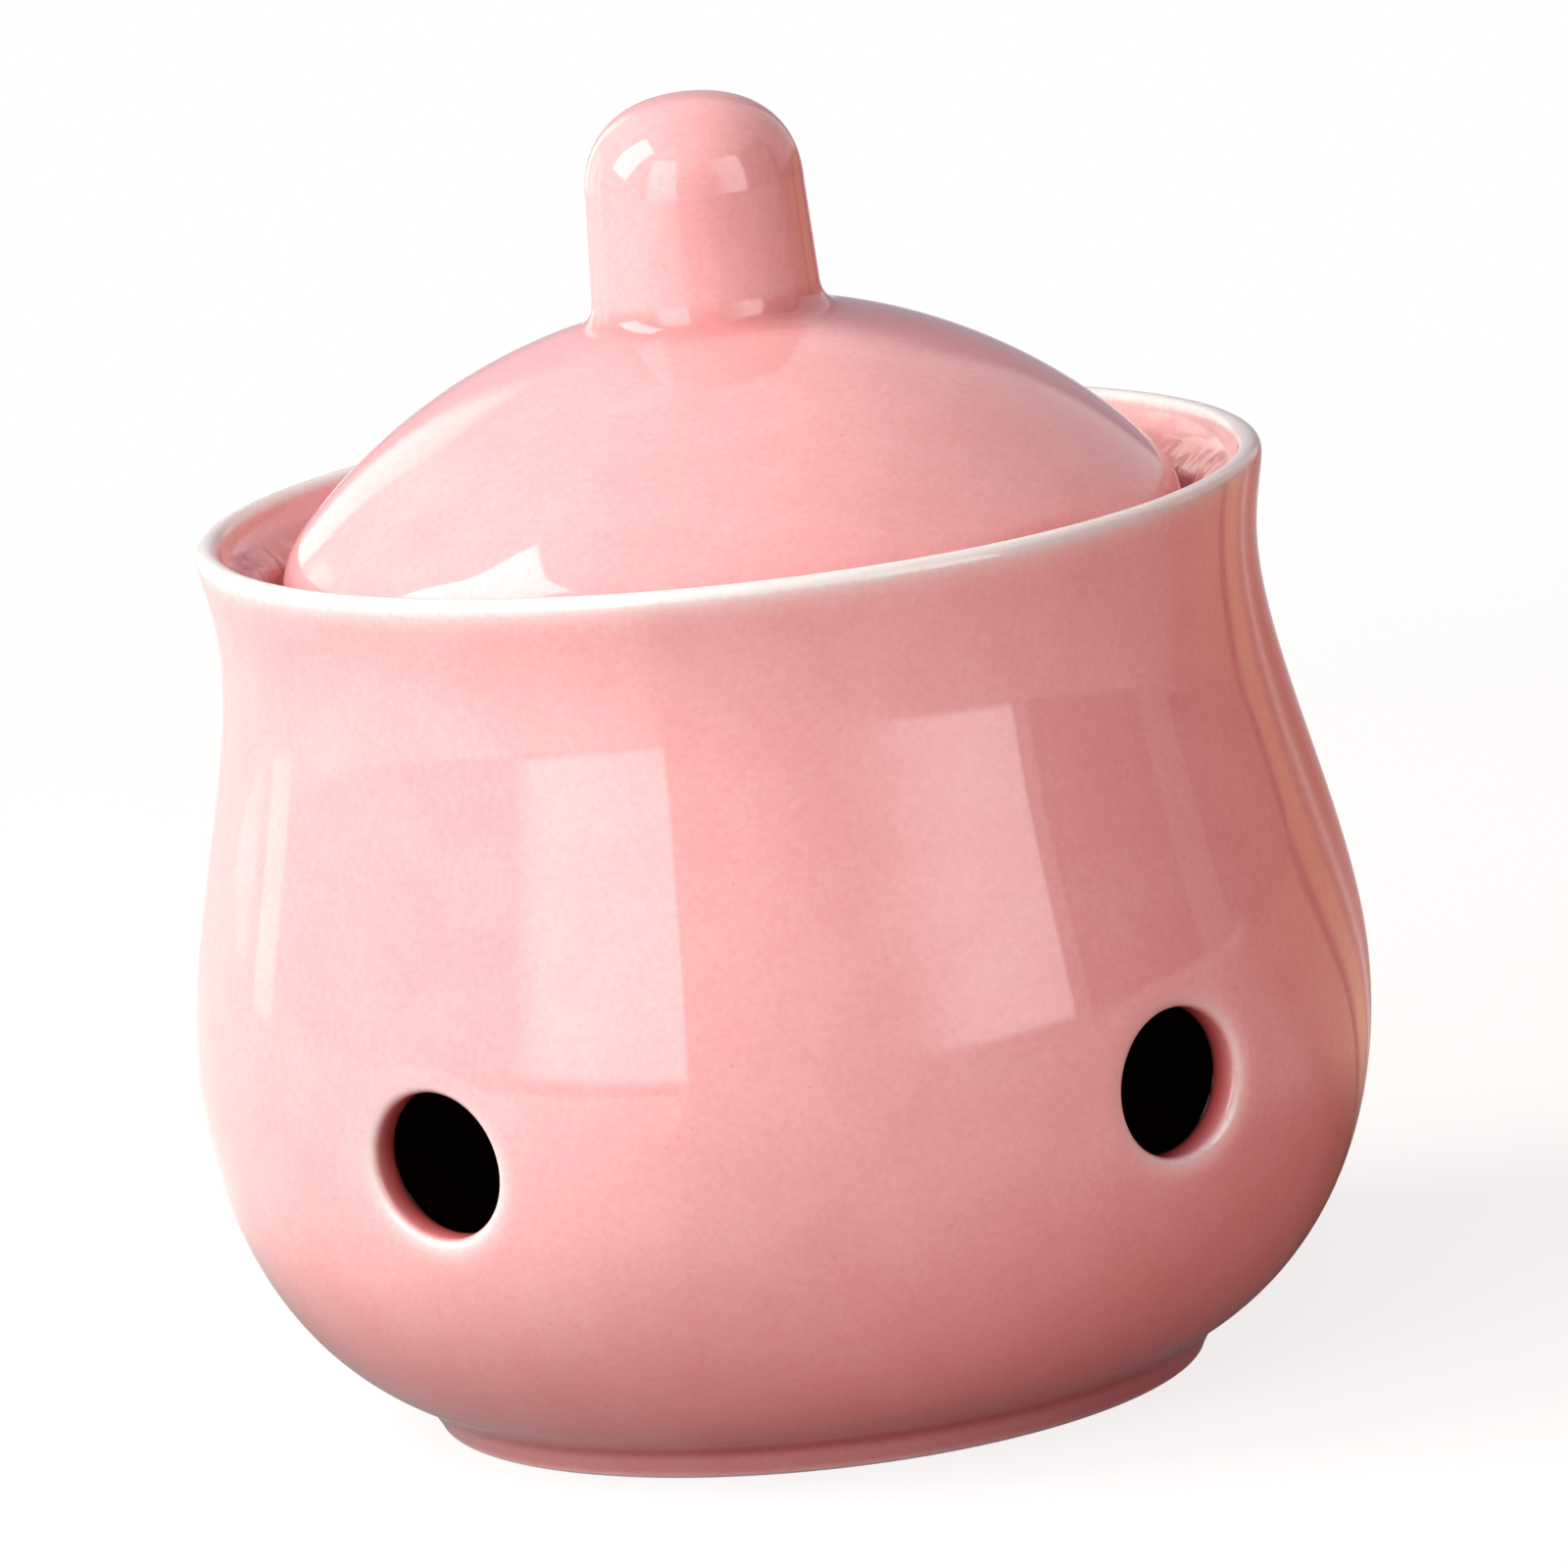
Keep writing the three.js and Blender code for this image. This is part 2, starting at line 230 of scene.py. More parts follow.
def makeGlaze(name):
    # Glossy coloured porcelain glaze, dipped and fired: a hard, wet-looking skin over a soft pink
    # that breaks to white on sharp edges, pools deeper in corners, where shade is painted in too,
    # is painted dark inside as shade, and swells very slightly.
    material = bpy.data.materials.new(name)
    tree = clearNodes(material)
    place = addNode(tree, "ShaderNodeTexCoord").outputs["Object"]

    clouds = addNode(tree, "ShaderNodeTexNoise", {}, {
        "Vector": place, "Scale": 1 / (glaze["cloudSize"] * mm),
        "Detail": 3.0, "Roughness": 0.55})
    grain = addNode(tree, "ShaderNodeTexNoise", {}, {
        "Vector": place, "Scale": 1 / (glaze["grainSize"] * mm),
        "Detail": 2.0, "Roughness": 0.6})
    drift = addNode(tree, "ShaderNodeMix", {"data_type": "FLOAT"}, {
        "Factor": glaze["grainShare"], "A": clouds.outputs["Fac"], "B": grain.outputs["Fac"]})
    tint = addNode(tree, "ShaderNodeValToRGB", {}, {"Fac": drift.outputs["Result"]})
    ramp = tint.color_ramp
    ramp.elements[0].position, ramp.elements[0].color = glaze["deepest"], linear(glaze["deeper"])
    ramp.elements[1].position, ramp.elements[1].color = glaze["palest"], linear(glaze["paler"])
    middle = ramp.elements.new((glaze["deepest"] + glaze["palest"]) / 2)
    middle.color = linear(glaze["pink"])

    specks = addNode(tree, "ShaderNodeTexVoronoi", {}, {
        "Vector": place, "Scale": 1 / (glaze["speckSpacing"] * mm), "Randomness": 1.0})
    speckShare = glaze["speckSize"] / glaze["speckSpacing"]
    speckMask = addNode(tree, "ShaderNodeMapRange", {"clamp": True}, {
        "Value": specks.outputs["Distance"], "From Min": speckShare, "From Max": speckShare / 2,
        "To Min": 0.0, "To Max": glaze["speckStrength"]})
    specked = addNode(tree, "ShaderNodeMix", {"data_type": "RGBA"}, {
        "Factor": speckMask.outputs["Result"], "A": tint.outputs["Color"],
        "B": linear(glaze["speck"])})

    # painted shade along with pooled glaze: deeper pink in creases, recesses and low on the belly
    pooledAndShaded = addNode(tree, "ShaderNodeAttribute", {"attribute_name": "glazePooledAndShaded"})
    deep = addNode(tree, "ShaderNodeMix", {"data_type": "RGBA"}, {
        "Factor": pooledAndShaded.outputs["Fac"], "A": specked.outputs["Result"],
        "B": linear(glaze["pooledAndShaded"])})

    # painted shade: the inside of the pot and the inner ends of the bores turn dark
    inside = addNode(tree, "ShaderNodeAttribute", {"attribute_name": "glazeInsideShade"})
    shadedInside = addNode(tree, "ShaderNodeMix", {"data_type": "RGBA"}, {
        "Factor": inside.outputs["Fac"], "A": deep.outputs["Result"],
        "B": linear(glaze["inside"])})

    thin = addNode(tree, "ShaderNodeAttribute", {"attribute_name": "glazeThin"})
    ragged = addNode(tree, "ShaderNodeMath", {"operation": "MULTIPLY_ADD"}, {
        0: grain.outputs["Fac"], 1: glaze["raggedMore"], 2: glaze["raggedLeast"]})
    broken = addNode(tree, "ShaderNodeMath", {"operation": "MULTIPLY", "use_clamp": True}, {
        0: ragged.outputs["Value"], 1: thin.outputs["Fac"]})
    colour = addNode(tree, "ShaderNodeMix", {"data_type": "RGBA"}, {
        "Factor": broken.outputs["Value"], "A": shadedInside.outputs["Result"],
        "B": linear(glaze["porcelain"])})

    swell = addNode(tree, "ShaderNodeTexNoise", {}, {
        "Vector": place, "Scale": 1 / (glaze["waveSize"] * mm), "Detail": 1.0})
    skin = addNode(tree, "ShaderNodeTexNoise", {}, {
        "Vector": place, "Scale": 1 / (glaze["skinSize"] * mm), "Detail": 2.0})
    waves = addNode(tree, "ShaderNodeBump", {}, {
        "Height": swell.outputs["Fac"], "Strength": 1.0,
        "Distance": glaze["waveDepth"] * mm})
    runs = addNode(tree, "ShaderNodeTexNoise", {}, {
        "Vector": place, "Scale": 1 / (glaze["rippleSize"] * mm), "Detail": 1.0})
    rippled = addNode(tree, "ShaderNodeAttribute", {"attribute_name": "glazeRippled"})
    runHeight = addNode(tree, "ShaderNodeMath", {"operation": "MULTIPLY"}, {
        0: runs.outputs["Fac"], 1: rippled.outputs["Fac"]})
    ripples = addNode(tree, "ShaderNodeBump", {}, {
        "Height": runHeight.outputs["Value"], "Strength": 1.0,
        "Distance": glaze["rippleDepth"] * mm, "Normal": waves.outputs["Normal"]})
    pores = addNode(tree, "ShaderNodeBump", {}, {
        "Height": skin.outputs["Fac"], "Strength": 1.0,
        "Distance": glaze["skinDepth"] * mm, "Normal": ripples.outputs["Normal"]})

    shader = addNode(tree, "ShaderNodeBsdfPrincipled", {}, {
        "Base Color": colour.outputs["Result"], "Roughness": glaze["roughness"],
        "IOR": glaze["ior"], "Normal": pores.outputs["Normal"]})
    addNode(tree, "ShaderNodeOutputMaterial", {}, {"Surface": shader.outputs["BSDF"]})
    return material


pot = {
    "height": 93, "bellyRadius": 60, "bellyLevel": 38.6, "wall": 4.2,
    "neckRadius": 52.9, "neckLevel": 81.6,
    "lipRadius": 54.25, "lipThickness": 2.4,
    "galleryRadius": 48.2, "galleryLevel": 84.6, "galleryFillet": 1.2,
    "ledgeRadius": 41.5, "ledgeNose": 1.2,
    "footRadius": 39.5, "footHeight": 3.5, "footFlare": 1.8, "footWidth": 4.6, "footDraft": 0.8,
    "footRounding": 0.5, "ringPull": 0.2,
    "footValley": 1.3, "valleyPull": 0.6,        # the soft hollow where the ring meets the belly
    # the rounded corner of the recess inside the foot ring
    "recessRun": 1, "recessRise": 0.8, "recessPullOut": 0.4, "recessPullDown": 0.3,
    "floorThickness": 3.8, "floorDish": 1.2,
    "footLaunch": 24.2, "footPull": 12.18, "lowerPull": 17.2, "upperPull": 13.63, "neckPull": 12.43,
    "risePull": 5.0, "lipPull": 1.73, "mouthPull": 2.52,
    "noseEnd": 225,              # the angle where the ledge's nose ends and its underside starts
    "ledgeRoot": 71.5, "ledgePull": 0.55,        # where it grows out of the wall, and how softly
    "turnSteps": 240,
    "steps": {                   # in how many steps each run of the profile is drawn
        "belly": 30, "recess": 16, "recessCorner": 4, "ringEdge": 3, "ringFlat": 4,
        "ringRound": 5, "ringSide": 4, "valley": 6, "rise": 10, "lip": 14, "mouth": 8,
        "corner": 6, "seat": 5, "nose": 8, "underLedge": 8, "dish": 6, "floor": 18,
    },
}


def potWalls():
    # outside and inside of the belly, from the foot up to the neck
    steps = pot["steps"]
    foot = at(pot["footRadius"] + pot["footFlare"], pot["footHeight"])
    belly = at(pot["bellyRadius"], pot["bellyLevel"])
    neck = at(pot["neckRadius"], pot["neckLevel"])
    launch = math.radians(pot["footLaunch"])
    lower = bezier(foot, foot + pot["footPull"] * at(math.cos(launch), math.sin(launch)),
                   belly - at(0, pot["lowerPull"]), belly, steps["belly"])
    upper = bezier(belly, belly + at(0, pot["upperPull"]),
                   neck - at(0, pot["neckPull"]), neck, steps["belly"])
    outside = chain(lower, upper)
    return lower, upper, outside, beside(outside, pot["wall"])


def potProfile():
    steps = pot["steps"]
    lower, upper, _, inside = potWalls()
    floorLevel = inside[0].y - pot["floorDish"]
    underside = floorLevel - pot["floorThickness"]
    ringInside = pot["footRadius"] - pot["footWidth"]
    rounding = pot["footRounding"]
    hollow = ringInside - pot["footDraft"]
    recessEnd = at(hollow - pot["recessRun"], underside)
    under = chain(
        line(at(0, underside), recessEnd, steps["recess"]),
        bezier(recessEnd, at(hollow - pot["recessPullOut"], underside),
               at(hollow, underside - pot["recessPullDown"]),
               at(hollow, underside - pot["recessRise"]), steps["recessCorner"]),
        bezier(at(ringInside, rounding), at(ringInside, pot["ringPull"]),
               at(ringInside + pot["ringPull"], 0), at(ringInside + rounding, 0),
               steps["ringEdge"]),
        line(at(ringInside + rounding, 0), at(pot["footRadius"] - rounding, 0),
             steps["ringFlat"]),
        arc(at(pot["footRadius"] - rounding, rounding), rounding, -90, 0, steps["ringRound"]),
    )
    # the ring's side leans out to the belly and meets it in a small valley
    join = at(pot["footRadius"] + pot["footFlare"], pot["footHeight"])
    ringTop = at(pot["footRadius"], rounding).lerp(join, 1 - pot["footValley"] / pot["footHeight"])
    climb = next(index for index, point in enumerate(lower)
                 if (point - join).length > pot["footValley"])
    ringSide = line(at(pot["footRadius"], rounding), ringTop, steps["ringSide"])
    valley = bezier(ringTop, ringTop.lerp(join, pot["valleyPull"]),
                    lower[climb].lerp(join, pot["valleyPull"]), lower[climb], steps["valley"])

    neck = at(pot["neckRadius"], pot["neckLevel"])
    rounded = pot["lipThickness"] / 2
    lipOut = at(pot["lipRadius"], pot["height"] - rounded)
    lipIn = lipOut - at(pot["lipThickness"], 0)
    rise = bezier(neck, neck + at(0, pot["risePull"]), lipOut - at(0, pot["lipPull"]), lipOut,
                  steps["rise"])
    lip = arc(lipOut - at(rounded, 0), rounded, 0, 180, steps["lip"])
    fillet = pot["galleryFillet"]
    mouthEnd = at(pot["galleryRadius"], pot["galleryLevel"] + fillet)
    mouth = bezier(lipIn, lipIn - at(0, pot["mouthPull"]), mouthEnd + at(0, pot["mouthPull"]),
                   mouthEnd, steps["mouth"])
    corner = arc(mouthEnd - at(fillet, 0), fillet, 0, -90, steps["corner"])
    noseCentre = at(pot["ledgeRadius"] + pot["ledgeNose"], pot["galleryLevel"] - pot["ledgeNose"])
    seat = line(corner[-1], at(noseCentre.x, pot["galleryLevel"]), steps["seat"])
    nose = arc(noseCentre, pot["ledgeNose"], 90, pot["noseEnd"], steps["nose"])
    root = next(index for index, point in enumerate(inside) if point.y > pot["ledgeRoot"])
    pull = pot["ledgePull"] * (inside[root].x - nose[-1].x)
    slantDown = at(0.7071, -0.7071)              # the way the nose points where it ends
    underLedge = bezier(nose[-1], nose[-1] + pull * slantDown, inside[root] + at(0, pull),
                        inside[root], steps["underLedge"])
    wallFoot = inside[0]
    dishReach = pot["floorDish"] / math.tan(math.radians(pot["footLaunch"]))
    dishEnd = at(wallFoot.x - 2 * dishReach, floorLevel)
    dish = bezier(wallFoot, wallFoot - at(dishReach * cornerPull, pot["floorDish"] * cornerPull),
                  at(wallFoot.x - dishReach * (2 - cornerPull), floorLevel), dishEnd,
                  steps["dish"])
    floor = line(dish[-1], at(0, floorLevel), steps["floor"])
    return chain(under, ringSide, valley, lower[climb:], upper, rise, lip, mouth, corner, seat,
                 nose, underLedge, inside[root::-1], dish, floor)


potPiece = drawProfile("potBody", potProfile(), "Z")
spinProfile(potPiece, pot["turnSteps"], (0, 0, 1))
print("pot turned:", len(potPiece.data.polygons), "faces")


vent = {
    "level": 36.8, "radius": 7.5, "innerEdge": 0.6,
    "shoulder": 3.1,             # how far round the hole the wall starts to roll over into it
    "rollDepth": 1.5, "rollPull": 1.4, "borePull": 0.25,
    "innerRings": (8.6, 9.3, 10.3),              # fine rings on the inside of the wall
    "collar": 11.6,              # how far the fine rings round a vent reach
    "window": 13.6,              # half the square that is opened for them
    "windowEdge": 3,             # how far past it the coarser faces can end
    "turns": [38.9, 109.45, 180, 250.55, 321.1],
    "rollSteps": 14, "boreSteps": 4, "innerSteps": 5, "ringSteps": 72,
    "bridgeCuts": 2,
}
ventAxes = [Vector((math.sin(math.radians(turn)), -math.cos(math.radians(turn)), 0))
            for turn in vent["turns"]]
_, _, outerWall, innerWall = potWalls()


def ventPlace(point, axis):
    # where a point lies from a vent's axis: aside, up, and how far out from the pot's axis
    aside = point.x * -axis.y + point.y * axis.x
    return aside, point.z - vent["level"], point.x * axis.x + point.y * axis.y


def inWindow(point):
    for axis in ventAxes:
        aside, up, out = ventPlace(point, axis)
        if out > 0 and abs(aside) < vent["window"] and abs(up) < vent["window"]:
            return True
    return False


def collarProfile():
    # radius from the vent's axis, and depth into the wall
    edge = vent["innerEdge"]
    rollStart = at(vent["radius"] + vent["shoulder"], 0)
    mouth = bezier(rollStart, rollStart - at(vent["rollPull"], 0),
                   at(vent["radius"], vent["borePull"]), at(vent["radius"], vent["rollDepth"]),
                   vent["rollSteps"])
    inner = arc(at(vent["radius"] + edge, pot["wall"] - edge), edge, 180, 90, vent["innerSteps"])
    return chain(
        [at(vent["collar"], 0)],
        mouth, line(mouth[-1], inner[0], vent["boreSteps"]), inner,
        [at(radius, pot["wall"]) for radius in (*vent["innerRings"], vent["collar"])],
    )


def bendToBelly(piece):
    # the collar is turned flat, then its rings are laid along the outside and inside of the wall
    for vertex in piece.data.vertices:
        aside, depth, up = vertex.co / mm
        level = vent["level"] + up
        outer, inner = radiusAt(outerWall, level), radiusAt(innerWall, level)
        reach = outer + (inner - outer) * depth / pot["wall"]
        vertex.co = Vector((aside, -math.sqrt(reach ** 2 - aside ** 2), level)) * mm


editOnly(potPiece, "FACE",
         [face.index for face in potPiece.data.polygons if inWindow(face.center / mm)])
bpy.ops.mesh.delete(type="FACE")
bpy.ops.object.mode_set(mode="OBJECT")

firstCollar = drawProfile("ventCollar", collarProfile(), "Y")
spinProfile(firstCollar, vent["ringSteps"], (0, 1, 0))
bendToBelly(firstCollar)
collars = []
for turn in vent["turns"]:
    choose(firstCollar)
    bpy.ops.object.duplicate()
    collar = bpy.context.active_object
    collar.data.transform(Matrix.Rotation(math.radians(turn), 4, "Z"))
    collars.append(collar)
bpy.data.objects.remove(firstCollar)

choose(potPiece)
for collar in collars:
    collar.select_set(True)
bpy.ops.object.join()
potPiece = bpy.context.active_object


def rimEdges(axis, outside):
    # the open edges of one vent's window and collar, on the outside or the inside of the wall
    mesh = potPiece.data
    uses = {}
    for face in mesh.polygons:
        for key in face.edge_keys:
            uses[key] = uses.get(key, 0) + 1
    chosen = []
    for edge in mesh.edges:
        if uses.get(tuple(sorted(edge.vertices)), 0) != 1:
            continue
        start, end = (mesh.vertices[index].co for index in edge.vertices)
        middle = (start + end) / 2 / mm
        aside, up, out = ventPlace(middle, axis)
        isNear = out > 0 and max(abs(aside), abs(up)) < vent["window"] + vent["windowEdge"]
        between = (radiusAt(outerWall, middle.z) + radiusAt(innerWall, middle.z)) / 2
        isOutside = math.hypot(middle.x, middle.y) > between
        if isNear and isOutside == outside:
            chosen.append(edge.index)
    return chosen


for axis in ventAxes:
    for outside in (True, False):
        before = len(potPiece.data.vertices)
        editOnly(potPiece, "EDGE", rimEdges(axis, outside))
        bpy.ops.mesh.bridge_edge_loops(
            type="SINGLE", number_cuts=vent["bridgeCuts"], interpolation="LINEAR")
        bpy.ops.object.mode_set(mode="OBJECT")
        # the new points go back onto the wall
        wall = outerWall if outside else innerWall
        for vertex in list(potPiece.data.vertices)[before:]:
            spot = vertex.co / mm
            share = radiusAt(wall, spot.z) / math.hypot(spot.x, spot.y)
            vertex.co = Vector((spot.x * share, spot.y * share, spot.z)) * mm

choose(potPiece)
bpy.ops.object.mode_set(mode="EDIT")
bpy.ops.mesh.select_mode(type="VERT")
closeSeams()
smooth(potPiece)
print("vents pierced:", len(potPiece.data.polygons), "faces")

glazeOnPot = {
    # the inside: above this level, and in from the outside by this share of the lip's thickness
    "insideFrom": 4.5, "insideShare": 0.7,
    # the lip's white is reckoned above lipFrom; below neckTop, what is wider is outside
    "lipFrom": 84, "neckTop": 88, "neckWithin": 51,
    # how far down the lip is bare, its share inside, and how fast the white then dies away
    "lipWhite": 0.9, "lipWhiteIn": 0.6, "lipFadeOut": 0.85, "lipFadeIn": 0.8, "leastWhite": 0.02,
    # how white the roll of a vent gets: its share at the sides, more under the hole than over it
    "ventWhite": 0.75, "ventMean": 0.87, "ventTilt": 0.13,
    # how far out that is full, how fast it dies away there, and where it is no longer reckoned
    "ventEdge": 0.6, "ventFade": 0.65, "ventReach": 12.5,
    # how deep in the bore the white has gone, and over what depth it goes
    "rollEnd": 1.1, "rollFade": 0.5,
    # what is wider than outerFrom is the ring's outer side and the belly; the ring's edge is wiped
    "outerFrom": 37, "footWhite": 0.6, "footMiddle": 0.1, "footBare": 0.5,
    # glaze gathers over the foot ring, and is a little thicker low on the belly and on the ring;
    # shade is painted into the same places
    "valleyPooledShade": 0.85, "valleyPool": 2.4, "bellyPooledShade": 0.3, "bellyReach": 24, "footPooledShade": 0.2,
    # it gathers inside the mouth too, from this level down, with shade painted in as it goes deeper
    "mouthPooledShade": 0.55, "mouthPoolTop": 92, "mouthPoolFade": 3,
    # in a bore the glaze thickens and shade is painted in, from borePooledShade as it goes in, and
    # then the painted dark of the inside starts
    "borePooledShade": 0.15, "boreEdge": 0.6, "borePoolFade": 2.3, "boreWithin": 0.4,
    "boreDeep": 2.8, "boreDeepFade": 1.1, "boreTop": 10,
    # beyond this share of the wall lies the chamber, which is painted dark as shade below the ledge
    "wallShare": 0.9, "insideStart": 1, "insideFade": 8,
    # the runs inside the mouth, from just below the ledge: their middle level and their reach
    "rippleFoot": 0.5, "rippleLevel": 87.5, "rippleReach": 4,
}


def isInside(spot):
    outer = radiusAt(outerWall, spot.z) - pot["lipThickness"] * glazeOnPot["insideShare"]
    return spot.z > glazeOnPot["insideFrom"] and math.hypot(spot.x, spot.y) < outer


def thinOnPot(spot):
    radius = math.hypot(spot.x, spot.y)
    value = 0
    if spot.z > glazeOnPot["lipFrom"]:
        isOutside = (radius > pot["lipRadius"] - pot["lipThickness"] / 2
                     or spot.z < glazeOnPot["neckTop"] and radius > glazeOnPot["neckWithin"])
        bare = glazeOnPot["lipWhite"] * (1 if isOutside else glazeOnPot["lipWhiteIn"])
        down = max(0, pot["height"] - bare - spot.z)
        value = math.exp(-down / glazeOnPot["lipFadeOut" if isOutside else "lipFadeIn"])
        value = value if value > glazeOnPot["leastWhite"] else 0
    for axis in ventAxes:
        aside, up, out = ventPlace(spot, axis)
        away = math.hypot(aside, up)
        if out > 0 and away < glazeOnPot["ventReach"]:
            depth = radiusAt(outerWall, spot.z) - radius
            # whiter under the hole than over it, and gone just inside the bore
            low = glazeOnPot["ventMean"] - glazeOnPot["ventTilt"] * up / max(away, 1)
            roll = clamp((glazeOnPot["rollEnd"] - depth) / glazeOnPot["rollFade"])
            beyond = max(0, away - vent["radius"] - glazeOnPot["ventEdge"])
            reached = math.exp(-beyond / glazeOnPot["ventFade"])
            value = max(value, glazeOnPot["ventWhite"] * low * roll * reached)
    if radius > glazeOnPot["outerFrom"]:
        wiped = fade(spot.z - glazeOnPot["footMiddle"], glazeOnPot["footBare"])
        value = max(value, glazeOnPot["footWhite"] * wiped)
    return value


def pooledAndShadedOnPot(spot):
    # deeper colour: pooled glaze together with painted shade in the crease over the ring, low on
    # the belly, in the mouth and in the bores
    radius = math.hypot(spot.x, spot.y)
    join = at(pot["footRadius"] + pot["footFlare"], pot["footHeight"])
    fromJoin = (at(radius, spot.z) - join).length
    value = glazeOnPot["valleyPooledShade"] * fade(fromJoin, glazeOnPot["valleyPool"])
    if isInside(spot):
        below = glazeOnPot["mouthPoolTop"] - spot.z
        value = max(value, glazeOnPot["mouthPooledShade"] * clamp(below / glazeOnPot["mouthPoolFade"]))
    elif radius > glazeOnPot["outerFrom"]:
        onBelly = glazeOnPot["bellyPooledShade"] * fade(spot.z - join.y, glazeOnPot["bellyReach"])
        value = max(value, glazeOnPot["footPooledShade"] if spot.z < join.y else onBelly)
    for axis in ventAxes:
        aside, up, out = ventPlace(spot, axis)
        if out > 0 and math.hypot(aside, up) < vent["radius"] + glazeOnPot["boreWithin"]:
            depth = radiusAt(outerWall, spot.z) - radius - glazeOnPot["boreEdge"]
            inBore = clamp(glazeOnPot["borePooledShade"] + depth / glazeOnPot["borePoolFade"])
            value = max(value, inBore)
    return value


def paintedInsideShade(spot):
    # painted shade: the chamber below the ledge, and the inner end of the vents' bores, are
    # darkened
    if not isInside(spot):
        return 0
    depth = radiusAt(outerWall, spot.z) - math.hypot(spot.x, spot.y)
    if depth < pot["wall"] * glazeOnPot["wallShare"]:
        isBore = spot.z < vent["level"] + glazeOnPot["boreTop"]
        return clamp((depth - glazeOnPot["boreDeep"]) / glazeOnPot["boreDeepFade"]) if isBore else 0
    below = pot["galleryLevel"] - glazeOnPot["insideStart"] - spot.z
    return clamp(below / glazeOnPot["insideFade"])


def rippledOnPot(spot):
    # where poured glaze turned over the ledge and ran up and down the wall inside the mouth
    if not isInside(spot) or spot.z < pot["galleryLevel"] - glazeOnPot["rippleFoot"]:
        return 0
    return fade(spot.z - glazeOnPot["rippleLevel"], glazeOnPot["rippleReach"])


paint(potPiece, "glazeThin", thinOnPot)
paint(potPiece, "glazePooledAndShaded", pooledAndShadedOnPot)
paint(potPiece, "glazeInsideShade", paintedInsideShade)
paint(potPiece, "glazeRippled", rippledOnPot)
potPiece.data.materials.clear()
potPiece.data.materials.append(makeGlaze("pink glazed porcelain, dipped pot"))
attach(potPiece, "pot")
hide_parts("pot")
print("pot glazed")


lid = {
    "seatLevel": 84.9, "radius": 46, "thickness": 3.4, "shoulder": 10, "edgeHeight": 1.25,
    "domeRadius": 58.4, "seatRounding": 1, "innerRounding": 0.6,
    "knobBase": 11.7, "knobTop": 11.1, "knobHeight": 21.4, "crown": 10, "crownPower": 2.3,
    "knobFillet": 2.4,
    "hollowRadius": 6, "crownThickness": 5.6, "hollowFillet": 1.6,
    "turnSteps": 240,
    "steps": {
        "hollow": 8, "hollowSide": 8, "hollowEdge": 5, "insideDome": 26, "insideShoulder": 8,
        "innerRound": 4, "outerRound": 6, "shoulder": 12, "dome": 28, "fillet": 8,
        "knobSide": 12, "crown": 28,
    },
}


